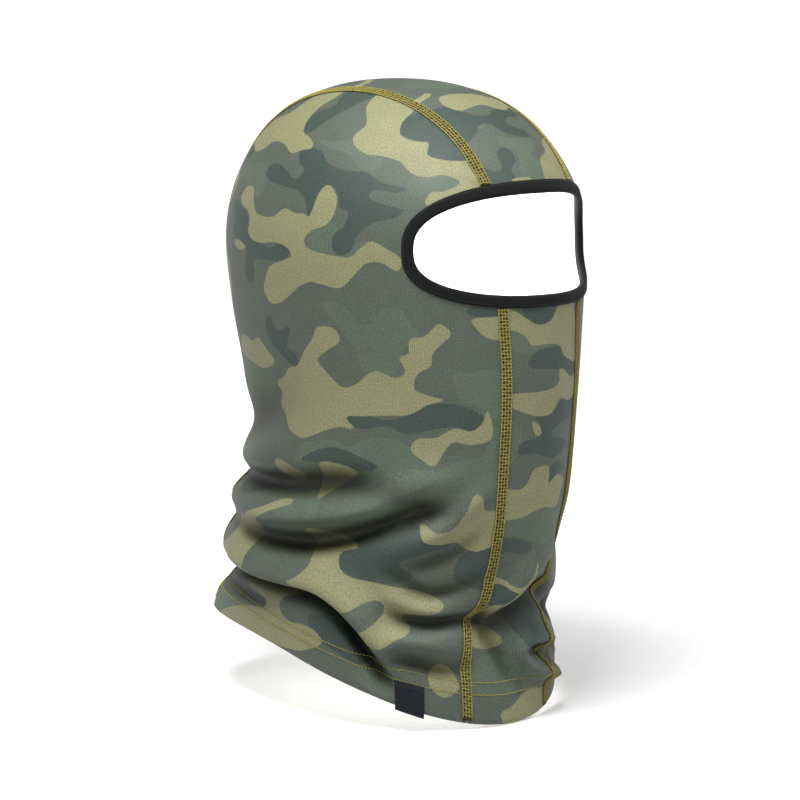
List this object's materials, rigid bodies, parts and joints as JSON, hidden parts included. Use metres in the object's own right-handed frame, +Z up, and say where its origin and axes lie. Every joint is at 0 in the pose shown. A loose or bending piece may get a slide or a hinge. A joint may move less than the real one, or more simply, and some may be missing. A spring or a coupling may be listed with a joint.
{
  "type": "balaclava",
  "caption": "Close-fitting camouflage balaclava with a single eye opening, flat seams, bound edge and a long hemmed neck.",
  "frame": {"origin": "middle of the wearer's head at the height of the ears, the widest section of the hood", "axes": "+Z up, -Y out of the face, +X to the wearer's left"},
  "size_m": [0.1596, 0.2167, 0.3165],
  "materials": {
    "printed_cloth": "matt brushed knit with a camouflage print outside and off-white fleece inside",
    "binding_tape": "matt black elastic tape",
    "olive_thread": "olive polyester thread with a low sheen",
    "black_thread": "black polyester thread",
    "label_tape": "woven black label tape, left blank"
  },
  "bodies": {
    "root": {"right_side_panel": "printed_cloth", "left_side_panel": "printed_cloth", "crown_back_panel": "printed_cloth", "front_panel": "printed_cloth", "eye_binding": "binding_tape", "binding_stitch": "black_thread", "right_crown_seam_cover": "olive_thread", "left_crown_seam_cover": "olive_thread", "right_face_seam_cover": "olive_thread", "left_face_seam_cover": "olive_thread", "right_crown_seam_looper": "olive_thread", "left_crown_seam_looper": "olive_thread", "right_face_seam_looper": "olive_thread", "left_face_seam_looper": "olive_thread", "hem_stitch_upper": "olive_thread", "hem_stitch_lower": "olive_thread", "hem_looper": "olive_thread", "hem_label": "label_tape", "label_stitch": "black_thread"}
  },
  "joints": []
}
